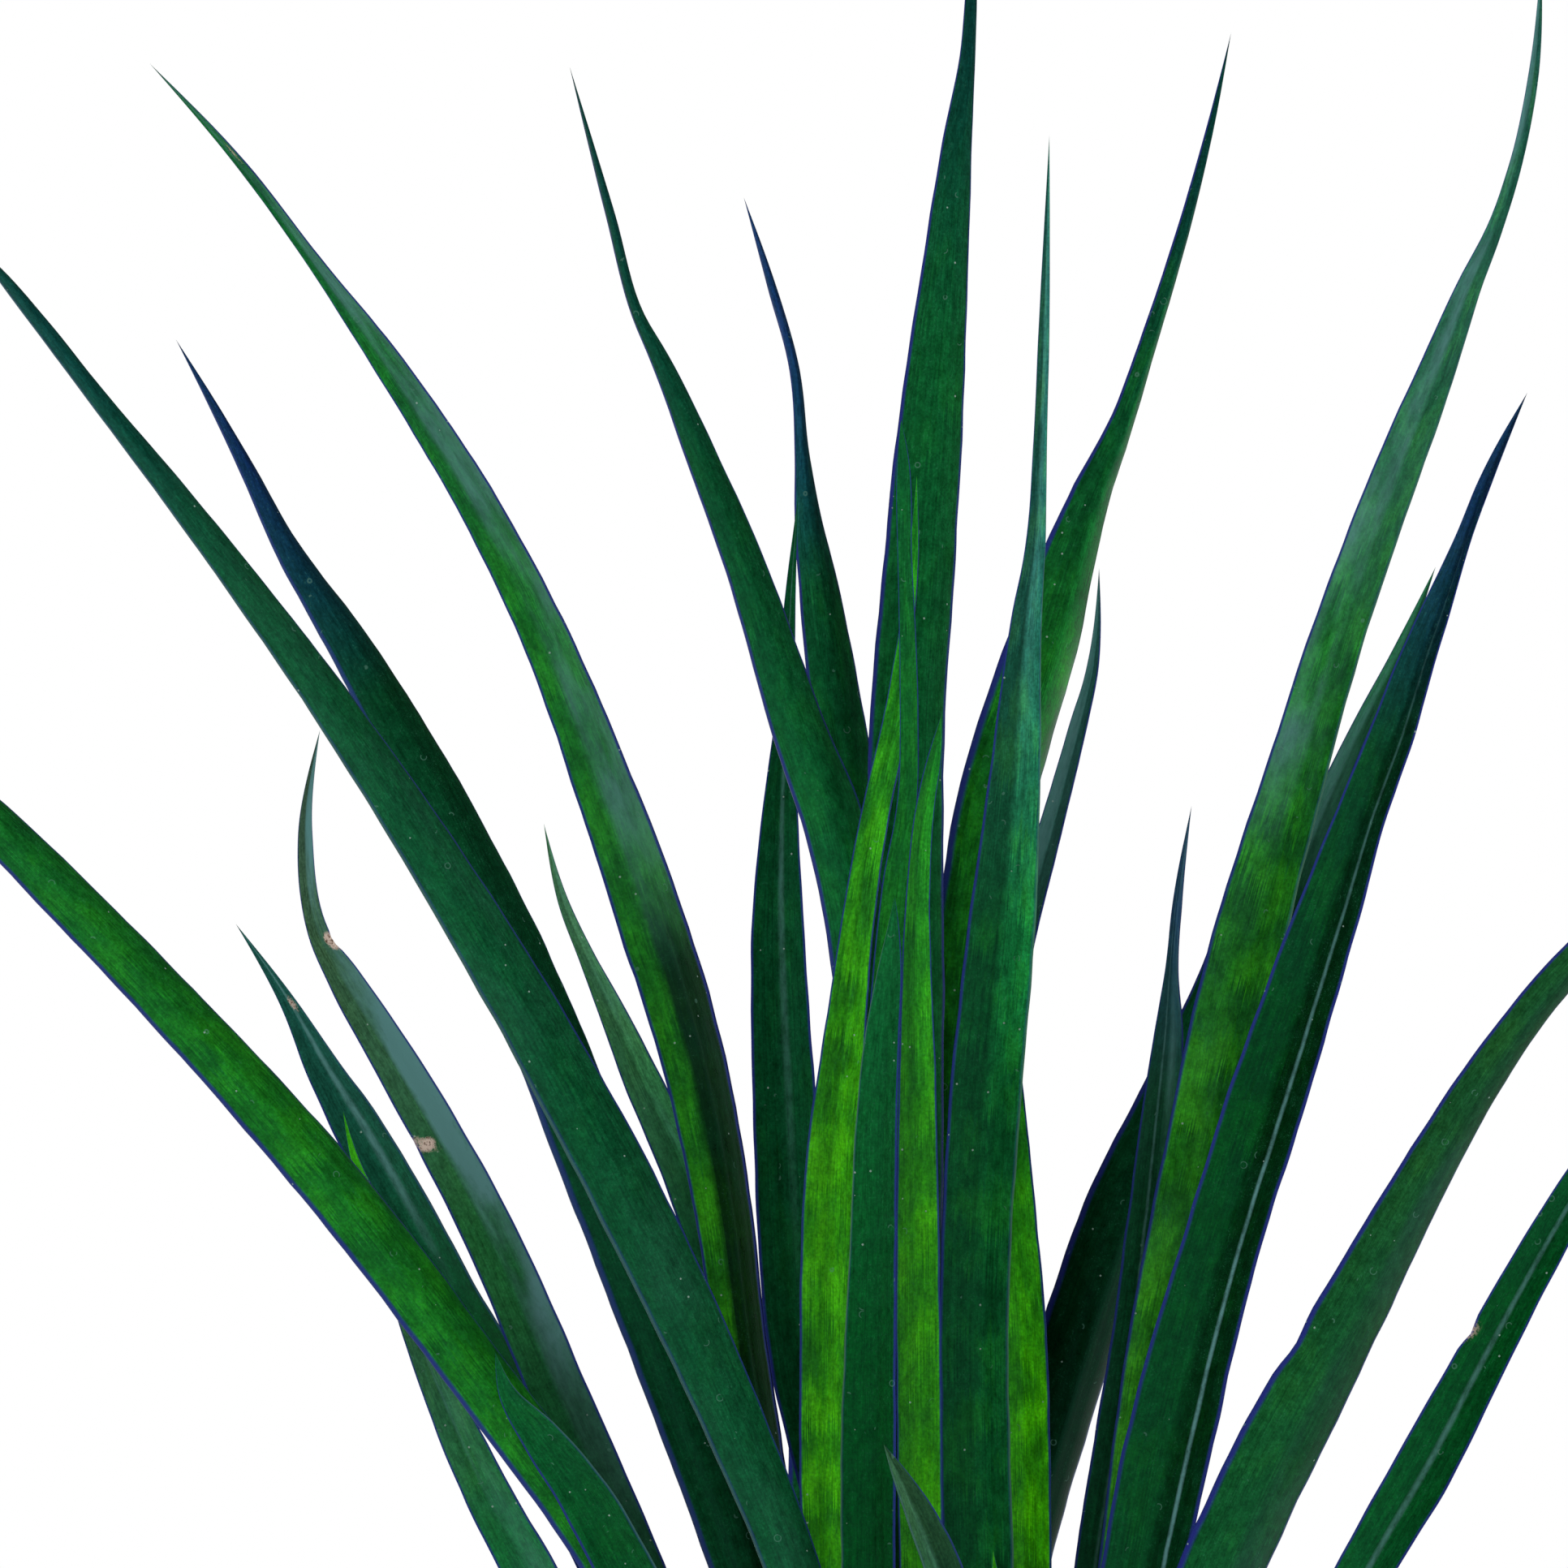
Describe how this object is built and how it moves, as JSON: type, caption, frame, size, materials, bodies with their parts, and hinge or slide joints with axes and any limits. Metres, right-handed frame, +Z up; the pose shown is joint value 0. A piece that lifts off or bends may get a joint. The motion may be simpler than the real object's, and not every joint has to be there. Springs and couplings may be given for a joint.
{
  "type": "potted snake plant",
  "caption": "Snake plant with narrow channelled leaves that end in long thin tips, growing as a fan from the soil of a plain round stoneware pot",
  "frame": {"origin": "The centre of the pot's flat underside", "axes": "+Z is up along the pot's axis, +X is to the right of someone who faces the plant's broad side, and -Y points at that person"},
  "size_m": [0.525, 0.2448, 0.69],
  "materials": {
    "leaf": "satin, cross-banded dark and light green",
    "soil": "rough, dark potting mix",
    "pot": "matt stoneware with fine speckle"
  },
  "bodies": {
    "root": {"pot": "pot", "soil": "soil", "leaf_01": "leaf", "leaf_02": "leaf", "leaf_03": "leaf", "leaf_04": "leaf", "leaf_05": "leaf", "leaf_06": "leaf", "leaf_07": "leaf", "leaf_08": "leaf", "leaf_09": "leaf", "leaf_10": "leaf", "leaf_11": "leaf", "leaf_12": "leaf", "leaf_13": "leaf", "leaf_14": "leaf", "leaf_15": "leaf", "leaf_16": "leaf", "leaf_17": "leaf", "leaf_18": "leaf", "leaf_19": "leaf", "leaf_20": "leaf", "leaf_21": "leaf", "leaf_22": "leaf", "leaf_23": "leaf", "leaf_24": "leaf", "leaf_25": "leaf", "leaf_26": "leaf", "leaf_27": "leaf", "leaf_28": "leaf", "leaf_29": "leaf", "leaf_30": "leaf", "leaf_31": "leaf", "leaf_32": "leaf", "leaf_33": "leaf", "leaf_34": "leaf", "leaf_35": "leaf", "leaf_36": "leaf", "leaf_37": "leaf", "leaf_38": "leaf"}
  },
  "joints": []
}
